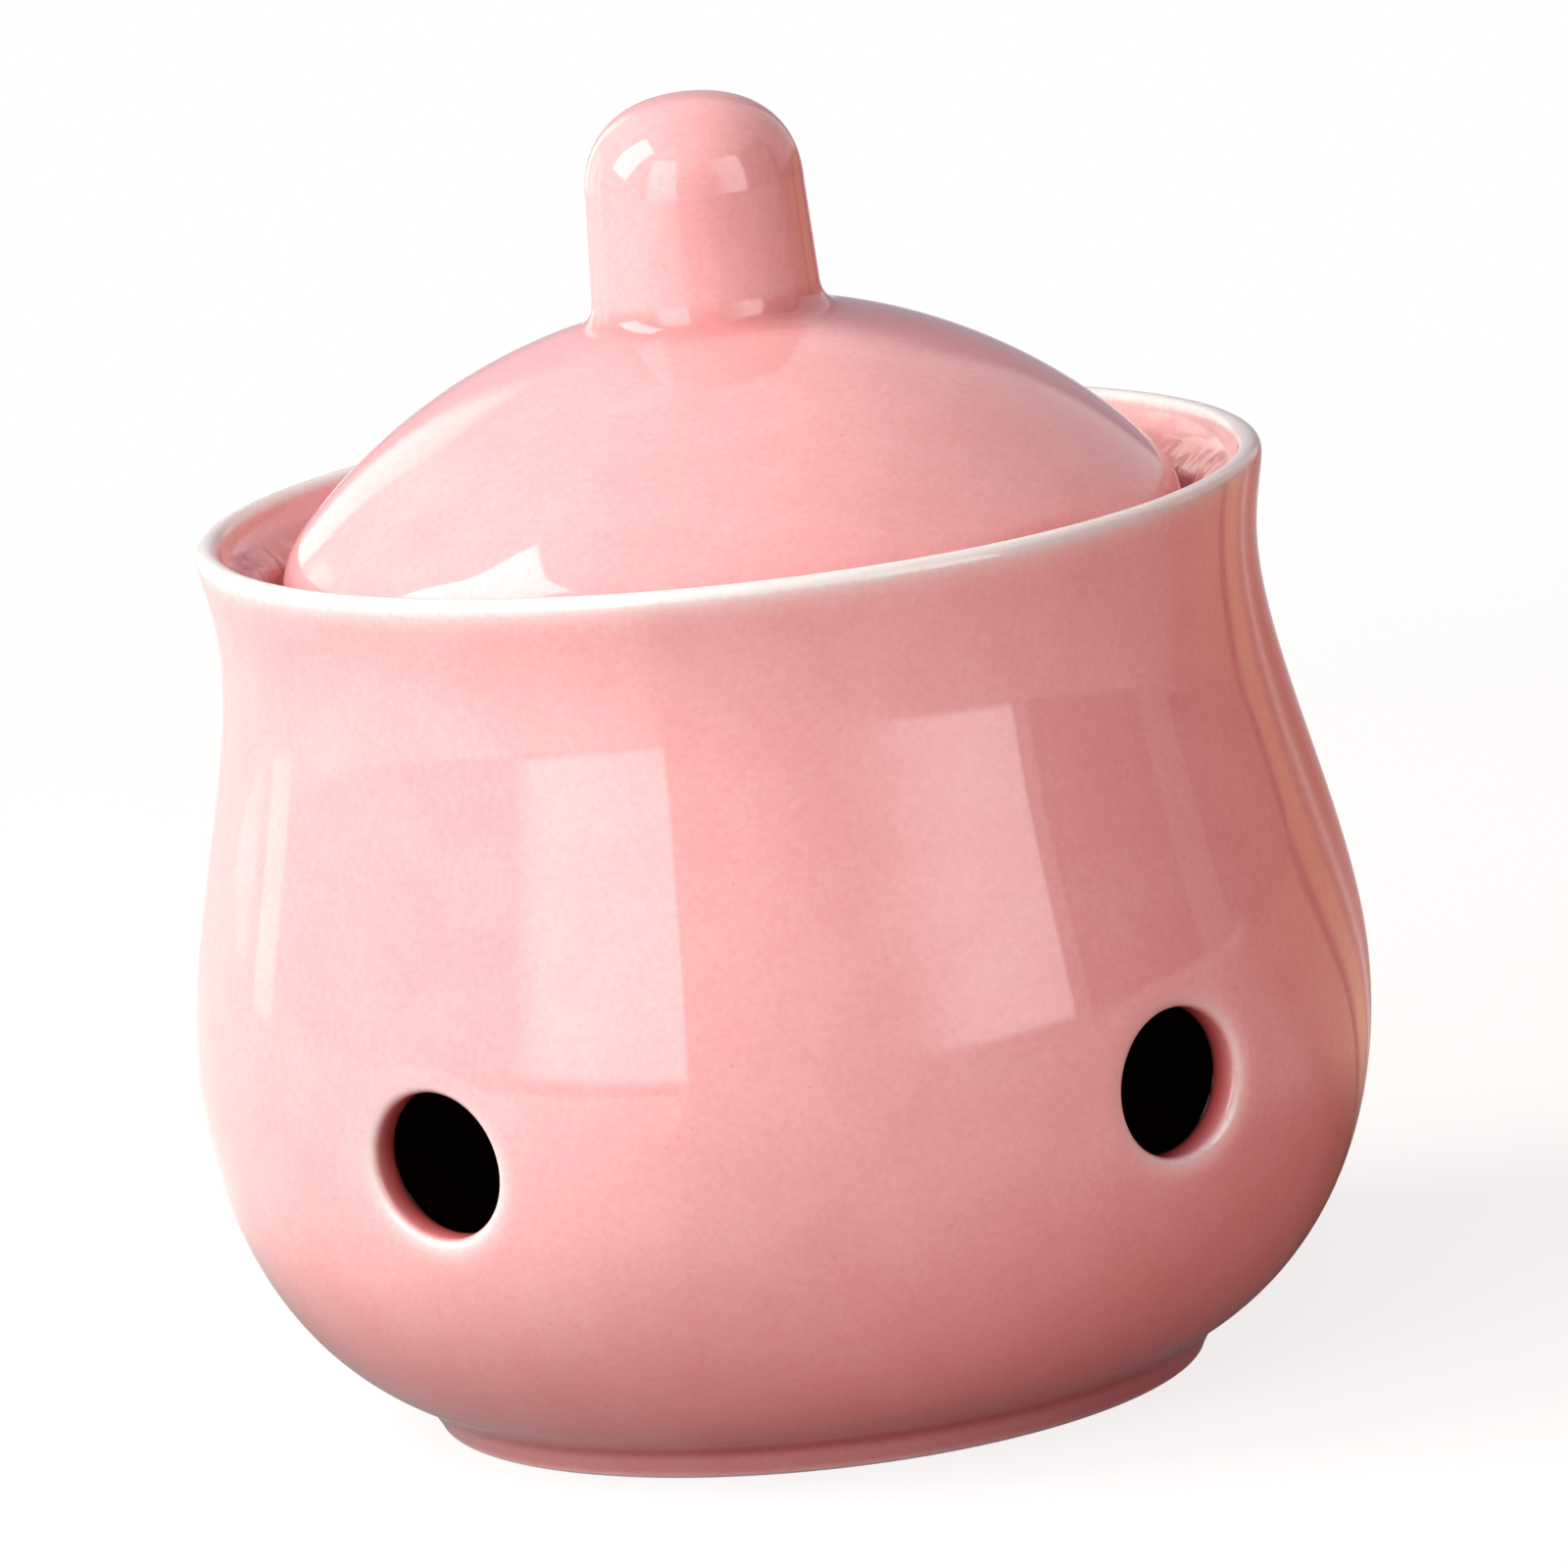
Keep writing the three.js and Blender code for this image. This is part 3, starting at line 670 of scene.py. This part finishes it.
def lidProfile():
    # heights are counted from the ring that the lid sits on
    steps = lid["steps"]
    shoulderCentre = at(lid["radius"] - lid["shoulder"], lid["edgeHeight"])
    drop = math.sqrt((lid["domeRadius"] - lid["shoulder"]) ** 2 - shoulderCentre.x ** 2)
    centre = at(0, shoulderCentre.y - drop)
    shoulderAngle = math.degrees(math.atan2(drop, shoulderCentre.x))
    insideRadius = lid["domeRadius"] - lid["thickness"]

    def onDome(radius, sphere):
        return centre + at(radius, math.sqrt(sphere ** 2 - radius ** 2))

    def domeAngle(radius, sphere):
        return math.degrees(math.acos(radius / sphere))

    top = centre.y + lid["domeRadius"] + lid["knobHeight"]
    crownLevel = top - lid["crown"]
    root = onDome(lid["knobBase"], lid["domeRadius"])
    filletStart = onDome(lid["knobBase"] + lid["knobFillet"], lid["domeRadius"])
    taper = (lid["knobBase"] - lid["knobTop"]) / (crownLevel - root.y)
    filletEnd = at(lid["knobBase"] - taper * lid["knobFillet"], root.y + lid["knobFillet"])
    knobSide = line(filletEnd, at(lid["knobTop"], crownLevel), steps["knobSide"])
    power = 2 / lid["crownPower"]
    crown = [at(lid["knobTop"] * max(0, point.x) ** power,
                crownLevel + lid["crown"] * point.y ** power)
             for point in arc(at(0, 0), 1, 0, 90, steps["crown"])]

    hollowTop = top - lid["crownThickness"]
    hollow = arc(at(0, hollowTop - lid["hollowRadius"]), lid["hollowRadius"], 90, 0,
                 steps["hollow"])
    mouth = onDome(lid["hollowRadius"], insideRadius)
    rim = onDome(lid["hollowRadius"] + lid["hollowFillet"], insideRadius)
    mouthTop = at(lid["hollowRadius"], mouth.y + lid["hollowFillet"])
    hollowSide = line(hollow[-1], mouthTop, steps["hollowSide"])
    hollowEdge = bezier(mouthTop, mouthTop.lerp(mouth, cornerPull),
                        rim.lerp(mouth, cornerPull), rim, steps["hollowEdge"])
    insideDome = arc(centre, insideRadius, domeAngle(rim.x, insideRadius), shoulderAngle,
                     steps["insideDome"])
    insideShoulder = arc(shoulderCentre, lid["shoulder"] - lid["thickness"], shoulderAngle, 0,
                         steps["insideShoulder"])
    inner, outer = lid["innerRounding"], lid["seatRounding"]
    ringInside = lid["radius"] - lid["thickness"]
    innerRound = arc(at(ringInside + inner, inner), inner, 180, 270, steps["innerRound"])
    outerRound = arc(at(lid["radius"] - outer, outer), outer, -90, 0, steps["outerRound"])
    shoulder = arc(shoulderCentre, lid["shoulder"], 0, shoulderAngle, steps["shoulder"])
    dome = arc(centre, lid["domeRadius"], shoulderAngle,
               domeAngle(filletStart.x, lid["domeRadius"]), steps["dome"])
    fillet = bezier(filletStart, filletStart.lerp(root, cornerPull),
                    filletEnd.lerp(root, cornerPull), filletEnd, steps["fillet"])
    points = chain(hollow, hollowSide, hollowEdge, insideDome, insideShoulder, innerRound,
                   outerRound, shoulder, dome, fillet, knobSide, crown)
    return [at(max(0, point.x), point.y + lid["seatLevel"]) for point in points], root


lidPoints, knobRoot = lidProfile()
lidPiece = drawProfile("lidBody", lidPoints, "Z")
spinProfile(lidPiece, lid["turnSteps"], (0, 0, 1))
smooth(lidPiece)
print("lid turned:", len(lidPiece.data.polygons), "faces")


glazeOnLid = {
    "ringInner": 41,             # the ring is wider than this,
    "ringWhite": 2.2,            # and its white reaches this far up
    "knobPooledShade": 0.5,             # glaze gathers in the knob's fillet, and shade is painted there, with its middle this far out and up from the corner
    "knobPoolOut": 0.6,          # with its middle this far out and up from the corner
    "knobPoolReach": 2.8,
}


def thinOnLid(spot):
    # the ring that the lid is fired on is wiped, and its outer edge sheds its glaze
    isRing = math.hypot(spot.x, spot.y) > glazeOnLid["ringInner"]
    return fade(spot.z - lid["seatLevel"], glazeOnLid["ringWhite"]) if isRing else 0


def pooledAndShadedOnLid(spot):
    # deeper colour in the knob's fillet: pooled glaze and painted shade
    out = glazeOnLid["knobPoolOut"]
    middle = at(knobRoot.x + out, knobRoot.y + lid["seatLevel"] + out)
    away = (at(math.hypot(spot.x, spot.y), spot.z) - middle).length
    return glazeOnLid["knobPooledShade"] * fade(away, glazeOnLid["knobPoolReach"])


paint(lidPiece, "glazeThin", thinOnLid)
paint(lidPiece, "glazePooledAndShaded", pooledAndShadedOnLid)
lidPiece.data.materials.clear()
lidPiece.data.materials.append(makeGlaze("pink glazed porcelain, dipped lid"))
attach(lidPiece, "lid")
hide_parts("lid")
print("lid glazed")


studio = {
    "floorSize": 12,             # metres
    "floorDrop": 0.05,           # millimetres below the foot ring, so that they don't touch
    "floorColour": "#E6E4E1",
    "floorBounce": "#948583",    # what it throws back at the pot, as a floor that fades away would
    "floorBounceWarm": "#DEA8A4",    # and on the right, where warm things stand round it
    "floorWarmFrom": -0.05,      # metres to the right from which and to which it turns warm
    "floorWarmTo": 0.12,
    "floorLevel": 0.74,          # how bright the lamps make it round the pot
    "floorShade": 0.25,          # how much of its own light and shadow it shows
    "floorNear": 0.2,            # metres out to which it does, and where it is plain white
    "floorFar": 0.6,
    "floorDark": 0.9,            # how dark the glaze mirrors it right under the belly
    "floorDarkAside": 0.015,     # most of that shade lies right and behind, away from the key
    "floorDarkBehind": 0.01,
    "floorDarkNear": 0.07,       # metres out to which it is full, and where it has gone
    "floorDarkFar": 0.14,
    "ambientLeft": "#303030",    # dim room light, warmer from the right
    "ambientRight": "#6E4B49",
    "distance": 1.1,             # metres from the pot to the softboxes
    "height": 0.06,              # metres that their middle line stands above the floor
}

# How the glaze mirrors the floor, going round from the left (-90) past the front (0), the right
# (90) and the back (180): azimuth, brightness and colour. It is bright where the lamps on the left
# light it, and brown as wood on the right.
floorMirrored = [
    (-90, 1.9, "#FFFBF6"), (-72, 2.4, "#FFFCF8"), (-50, 2.5, "#FFFCF8"), (-23, 2.2, "#FFFCFA"),
    (-19, 1.0, "#FFFFFF"), (60, 1.0, "#FFFFFF"), (96, 0.9, "#FFF4EE"), (104, 1.0, "#E0B8A4"),
    (117, 1.0, "#ECC6A2"), (124, 1.0, "#ECC29A"), (125, 0.6, "#D8928A"), (127.5, 0.6, "#D8928A"),
    (128.5, 1.05, "#F2C89C"), (135, 1.05, "#F0C292"), (138, 1.0, "#CC9890"),
    (140, 1.0, "#D8B0A8"), (142, 1.0, "#F2D6CE"), (145, 1.0, "#C89C90"), (149, 1.0, "#B98478"),
    (156, 1.0, "#C09088"), (163, 1.0, "#CCB4B8"), (170, 1.0, "#D8CCD4"),
    (182, 1.0, "#EAE4E6"), (200, 1.0, "#FFFBF8"), (215, 1.3, "#FFFAF4"), (240, 1.5, "#FFF9F2"),
    (255, 1.7, "#FFFAF4"), (270, 1.9, "#FFFBF6"),
]

# Softboxes and bright windows: azimuths from and to (0 is the front, 90 the right), elevations
# from low to high, how bright the glaze mirrors them (shine) and how much light they throw, and
# how far their edges fade, as a share of the width or height: at the "from" side, the "to" side,
# the bottom and the top.
softboxes = {
    "keyBox": {"from": -102.7, "to": -68.5, "low": 18, "high": 59, "tipped": True, "roll": 16,
               "shine": 7.5, "light": 11.2, "colour": "#FFFDF9", "fade": (0.04, 0.04, 0.03, 0.03)},
    "leftBox": {"from": -56, "to": -20, "low": 0, "high": 45,
                "shine": 4.8, "light": 2.2, "colour": "#FFFDFB", "fade": (0.25, 0.03, 0.04, 0.15)},
    "rightBox": {"from": 14, "to": 55.5, "low": 0, "high": 40,
                 "shine": 4.2, "light": 0.3, "colour": "#FFFDFC", "fade": (0.65, 0.03, 0.04, 0.1)},
    "windowNear": {"from": -127, "to": -118, "low": -8, "high": 22,
                   "shine": 2.6, "light": 0.3, "colour": "#FFF3E4", "fade": (0.1, 0.1, 0.03, 0.3)},
    "windowFar": {"from": -147, "to": -131, "low": -8, "high": 20,
                  "shine": 1.9, "light": 0.3, "colour": "#FFF7EE", "fade": (0.2, 0.05, 0.03, 0.1)},
    "curtain": {"from": -167, "to": -151, "low": -8, "high": 34,
                "shine": 1.9, "light": 0.2, "colour": "#FFF7EE", "fade": (0.35, 0.15, 0.03, 0.15)},
}

# broad fills through heavy diffusers, too soft to show as a reflection
fills = {
    "frontFill": {"azimuth": -20, "elevation": 33, "distance": 1.5, "size": 1.4, "light": 2.2,
                  "colour": "#FFFFFF"},
    "roomFill": {"azimuth": 122, "elevation": 4, "distance": 1.5, "size": 1.4, "light": 1.7,
                 "colour": "#FF8A7C"},
}

# dim cards that only change what the glaze mirrors: a dark flag on the right, a pale post in front
# of it, a warm wall beyond with a dark red edge on it, and the grey wall at the back
flags = {
    "darkFlag": {"from": 58, "to": 108, "low": 0, "high": 44,
                 "colour": "#7A7476", "farColour": "#9C8A8C", "fade": (0.02, 0.2, 0.02, 0.3)},
    "palePost": {"from": 86.5, "to": 97, "low": 0, "high": 34, "nearer": 0.1,
                 "colour": "#E0D4D4", "farColour": "#DCD0CE", "fade": (0.12, 0.06, 0.03, 0.3)},
    "redEdge": {"from": 124.2, "to": 128.2, "low": -1.5, "high": 8, "nearer": 0.1,
                "colour": "#A4766E", "farColour": "#A4766E", "fade": (0.2, 0.2, 0.02, 0.4)},
    "warmWall": {"from": 98, "to": 150, "low": -1.5, "high": 8,
                 "colour": "#B8A09A", "farColour": "#ECC29A", "fade": (0.1, 0.04, 0.02, 0.4)},
    "backWall": {"from": 156, "to": 212, "low": -4, "high": 40, "nearer": -0.4,
                 "colour": "#B2AEBA", "farColour": "#D2C8CE", "fade": (0.1, 0.15, 0.02, 0.4)},
}


def whiteBackdropMask(tree):
    # 1 for the rays that see the backdrop: straight from the camera, or through a mirror or glass
    rays = addNode(tree, "ShaderNodeLightPath")
    straight = addNode(tree, "ShaderNodeMath", {"operation": "MAXIMUM"}, {
        0: rays.outputs["Is Camera Ray"], 1: rays.outputs["Is Glossy Ray"]})
    either = addNode(tree, "ShaderNodeMath", {"operation": "MAXIMUM"}, {
        0: straight.outputs["Value"], 1: rays.outputs["Is Transmission Ray"]})
    return either.outputs["Value"], rays.outputs["Is Glossy Ray"]


def directionTo(azimuth, elevation):
    turn, rise = math.radians(azimuth), math.radians(elevation)
    level = math.cos(rise)
    return Vector((math.sin(turn) * level, -math.cos(turn) * level, math.sin(rise)))


# Floor: white far away, and near the pot it lets some of its real light and shadow through.
floorMaterial = bpy.data.materials.new("pale studio floor, painted board")
tree = clearNodes(floorMaterial)
seen, mirrored = whiteBackdropMask(tree)
place = addNode(tree, "ShaderNodeTexCoord").outputs["Object"]
away = addNode(tree, "ShaderNodeVectorMath", {"operation": "LENGTH"}, {0: place})
fromShadow = addNode(tree, "ShaderNodeVectorMath", {"operation": "DISTANCE"}, {
    0: place, 1: (studio["floorDarkAside"], studio["floorDarkBehind"], 0)})
nearness = addNode(tree, "ShaderNodeMapRange", {"interpolation_type": "SMOOTHSTEP"}, {
    "Value": away.outputs["Value"],
    "From Min": studio["floorFar"], "From Max": studio["floorNear"]})
share = addNode(tree, "ShaderNodeMath", {"operation": "MULTIPLY"}, {
    0: nearness.outputs["Result"], 1: studio["floorShade"]})
whiteness = addNode(tree, "ShaderNodeMath", {"operation": "MULTIPLY_ADD"}, {
    0: share.outputs["Value"], 1: -studio["floorLevel"], 2: 1.0})
matte = addNode(tree, "ShaderNodeBsdfDiffuse", {}, {"Color": linear(studio["floorColour"])})
rightward = addNode(tree, "ShaderNodeSeparateXYZ", {}, {"Vector": place})
warm = addNode(tree, "ShaderNodeMapRange", {"interpolation_type": "SMOOTHSTEP"}, {
    "Value": rightward.outputs["X"],
    "From Min": studio["floorWarmFrom"], "From Max": studio["floorWarmTo"]})
warmed = addNode(tree, "ShaderNodeMix", {"data_type": "RGBA"}, {
    "Factor": warm.outputs["Result"], "A": linear(studio["floorBounce"]),
    "B": linear(studio["floorBounceWarm"])})
bounce = addNode(tree, "ShaderNodeBsdfDiffuse", {}, {"Color": warmed.outputs["Result"]})
nothing = addNode(tree, "ShaderNodeEmission", {}, {"Strength": 0.0})
shaded = addNode(tree, "ShaderNodeMixShader", {}, {
    "Fac": share.outputs["Value"], 1: nothing.outputs["Emission"], 2: matte.outputs["BSDF"]})
dark = addNode(tree, "ShaderNodeMapRange", {"interpolation_type": "SMOOTHSTEP"}, {
    "Value": fromShadow.outputs["Value"], "From Min": studio["floorDarkFar"],
    "From Max": studio["floorDarkNear"], "To Max": studio["floorDark"]})
darkMirrored = addNode(tree, "ShaderNodeMath", {"operation": "MULTIPLY"}, {
    0: dark.outputs["Result"], 1: mirrored})
brightest = max(brightness for _, brightness, _ in floorMirrored)
around = addNode(tree, "ShaderNodeTexGradient", {"gradient_type": "RADIAL"}, {"Vector": place})
surroundings = addNode(tree, "ShaderNodeValToRGB", {}, {"Fac": around.outputs["Fac"]})
stops = surroundings.color_ramp.elements
for index, (azimuth, brightness, colour) in enumerate(floorMirrored):
    # every ramp starts with a first and a last stop
    if index == 0:
        stop = stops[0]
    elif index == len(floorMirrored) - 1:
        stop = stops[-1]
    else:
        stop = stops.new((azimuth + 90) / 360)
    stop.color = [*(channel * brightness / brightest for channel in linear(colour)[:3]), 1]
tinted = addNode(tree, "ShaderNodeMix", {"data_type": "RGBA"}, {
    "Factor": mirrored, "A": (1, 1, 1, 1), "B": surroundings.outputs["Color"]})
strength = addNode(tree, "ShaderNodeMath", {"operation": "MULTIPLY_ADD"}, {
    0: mirrored, 1: brightest - 1, 2: 1.0})
darkened = addNode(tree, "ShaderNodeMix", {"data_type": "RGBA"}, {
    "Factor": darkMirrored.outputs["Value"], "A": tinted.outputs["Result"], "B": (0, 0, 0, 1)})
glowing = addNode(tree, "ShaderNodeMath", {"operation": "MULTIPLY"}, {
    0: strength.outputs["Value"], 1: whiteness.outputs["Value"]})
white = addNode(tree, "ShaderNodeEmission", {}, {
    "Color": darkened.outputs["Result"], "Strength": glowing.outputs["Value"]})
lifted = addNode(tree, "ShaderNodeAddShader", {}, {
    0: shaded.outputs["Shader"], 1: white.outputs["Emission"]})
shown = addNode(tree, "ShaderNodeMixShader", {}, {
    "Fac": seen, 1: bounce.outputs["BSDF"], 2: lifted.outputs["Shader"]})
addNode(tree, "ShaderNodeOutputMaterial", {}, {"Surface": shown.outputs["Shader"]})

deselectAll()
bpy.ops.mesh.primitive_plane_add(
    size=studio["floorSize"], location=(0, 0, -studio["floorDrop"] * mm))
floor = bpy.context.active_object
floor.name = "studioFloor"
floor.data.materials.append(floorMaterial)

# The room: plain white where it is seen or mirrored, and otherwise a dim light on the object.
world = bpy.data.worlds.new("pale studio")
bpy.context.scene.world = world
tree = clearNodes(world)
seen, _ = whiteBackdropMask(tree)
towards = addNode(tree, "ShaderNodeTexCoord")
sideways = addNode(tree, "ShaderNodeSeparateXYZ", {}, {"Vector": towards.outputs["Generated"]})
rightward = addNode(tree, "ShaderNodeMapRange", {}, {
    "Value": sideways.outputs["X"], "From Min": -1.0})
room = addNode(tree, "ShaderNodeMix", {"data_type": "RGBA"}, {
    "Factor": rightward.outputs["Result"], "A": linear(studio["ambientLeft"]),
    "B": linear(studio["ambientRight"])})
backdrop = addNode(tree, "ShaderNodeMix", {"data_type": "RGBA"}, {
    "Factor": seen, "A": room.outputs["Result"], "B": (1, 1, 1, 1)})
sky = addNode(tree, "ShaderNodeBackground", {}, {"Color": backdrop.outputs["Result"]})
addNode(tree, "ShaderNodeOutputWorld", {}, {"Surface": sky.outputs["Background"]})


def edgeFade(tree, value, lowFade, highFade):
    # 0 at both edges of the card, 1 once past what fades
    rising = addNode(tree, "ShaderNodeMapRange", {"interpolation_type": "SMOOTHSTEP"}, {
        "Value": value, "From Min": 0.0, "From Max": lowFade})
    falling = addNode(tree, "ShaderNodeMapRange", {"interpolation_type": "SMOOTHSTEP"}, {
        "Value": value, "From Min": 1.0, "From Max": 1 - highFade})
    both = addNode(tree, "ShaderNodeMath", {"operation": "MULTIPLY"}, {
        0: rising.outputs["Result"], 1: falling.outputs["Result"]})
    return both.outputs["Value"]


def placeCard(box):
    # middle, width, height and turn of a card that stands upright or is tipped to the pot
    azimuth, middle = (box["from"] + box["to"]) / 2, (box["low"] + box["high"]) / 2
    away = studio["distance"] - box.get("nearer", 0)
    half = math.radians((box["to"] - box["from"]) / 2)
    facing = directionTo(azimuth, middle if box.get("tipped") else 0)
    width = 2 * away * math.tan(half) * facing.xy.length
    if box.get("tipped"):
        height, lift = 2 * away * math.tan(math.radians(box["high"] - middle)), 0
    else:
        low, high = (away * math.tan(math.radians(box[end])) for end in ("low", "high"))
        height, lift = high - low, (low + high) / 2
    place = facing * away + Vector((0, 0, studio["height"] + lift))
    roll = Quaternion(facing, math.radians(-box.get("roll", 0)))
    return place, width, height, roll @ (-facing).to_track_quat("Z", "Y")


def addCard(name, box, shine):
    # mirrored by the glaze only: it fades to clear along its edges
    cloth = bpy.data.materials.new(name + " cloth")
    tree = clearNodes(cloth)
    onCard = addNode(tree, "ShaderNodeTexCoord").outputs["UV"]
    spot = addNode(tree, "ShaderNodeSeparateXYZ", {}, {"Vector": onCard})
    fromSide, toSide, bottom, top = box["fade"]
    across = edgeFade(tree, spot.outputs["X"], toSide, fromSide)
    upward = edgeFade(tree, spot.outputs["Y"], bottom, top)
    covered = addNode(tree, "ShaderNodeMath", {"operation": "MULTIPLY"}, {0: across, 1: upward})
    colour = addNode(tree, "ShaderNodeMix", {"data_type": "RGBA"}, {
        "Factor": spot.outputs["X"], "A": linear(box.get("farColour", box["colour"])),
        "B": linear(box["colour"])})
    clear = addNode(tree, "ShaderNodeBsdfTransparent")
    glow = addNode(tree, "ShaderNodeEmission", {}, {
        "Color": colour.outputs["Result"], "Strength": shine})
    shown = addNode(tree, "ShaderNodeMixShader", {}, {
        "Fac": covered.outputs["Value"], 1: clear.outputs["BSDF"], 2: glow.outputs["Emission"]})
    addNode(tree, "ShaderNodeOutputMaterial", {}, {"Surface": shown.outputs["Shader"]})
    middle, width, height, turn = placeCard(box)
    deselectAll()
    bpy.ops.mesh.primitive_plane_add(size=1, location=middle)
    card = bpy.context.active_object
    card.name = name
    card.scale = (width, height, 1)
    card.rotation_euler = turn.to_euler()
    card.data.materials.append(cloth)
    card.visible_camera = card.visible_diffuse = card.visible_shadow = False


def addLamp(name, middle, turn, width, height, colour, light):
    # throws light, and is never mirrored
    data = bpy.data.lights.new(name, "AREA")
    data.shape = "RECTANGLE"
    data.size, data.size_y = width, height
    data.color = linear(colour)[:3]
    data.energy = light * math.pi * width * height
    lamp = bpy.data.objects.new(name, data)
    bpy.context.scene.collection.objects.link(lamp)
    lamp.location = middle
    lamp.rotation_euler = (turn @ Quaternion((0, 1, 0), math.pi)).to_euler()
    lamp.visible_camera = lamp.visible_glossy = False


for name, box in softboxes.items():
    addCard(name, box, box["shine"])
    middle, width, height, turn = placeCard(box)
    addLamp(name + "Lamp", middle, turn, width, height, box["colour"], box["light"])

for name, fill in fills.items():
    out = directionTo(fill["azimuth"], fill["elevation"])
    turn = (-out).to_track_quat("Z", "Y")
    addLamp(name, out * fill["distance"], turn, fill["size"], fill["size"], fill["colour"],
            fill["light"])

for name, flag in flags.items():
    addCard(name, flag, 1.0)
print("studio lit:", len(softboxes), "softboxes,", len(fills), "fills,", len(flags), "flags")

camera = {
    "distance": 1322.5, "elevation": 11.42, "azimuth": -1.6, "roll": -6.15,
    "targetLevel": 61.96, "aside": 2.533, "lens": 298.4, "sensor": 36,
    "clip": (0.05, 50),          # metres
}
cameraData = bpy.data.cameras.new("studioCamera")
cameraData.sensor_width = camera["sensor"]
cameraData.lens = camera["lens"]
cameraData.clip_start, cameraData.clip_end = camera["clip"]
cameraObject = bpy.data.objects.new("studioCamera", cameraData)
bpy.context.scene.collection.objects.link(cameraObject)
turn, rise, roll = (math.radians(camera[key]) for key in ("azimuth", "elevation", "roll"))
right = Vector((math.cos(turn), math.sin(turn), 0))
forward = -directionTo(camera["azimuth"], camera["elevation"])
up = Vector((-math.sin(turn) * math.sin(rise), math.cos(turn) * math.sin(rise), math.cos(rise)))
target = Vector((0, 0, camera["targetLevel"])) + camera["aside"] * right
place = (target - camera["distance"] * forward) * mm
rolledRight = math.cos(roll) * right + math.sin(roll) * up
rolledUp = -math.sin(roll) * right + math.cos(roll) * up
turned = Matrix((rolledRight, rolledUp, -forward)).transposed().to_4x4()
cameraObject.matrix_world = Matrix.Translation(place) @ turned
bpy.context.scene.camera = cameraObject
bpy.context.scene.view_settings.view_transform = "Standard"
print("camera placed")
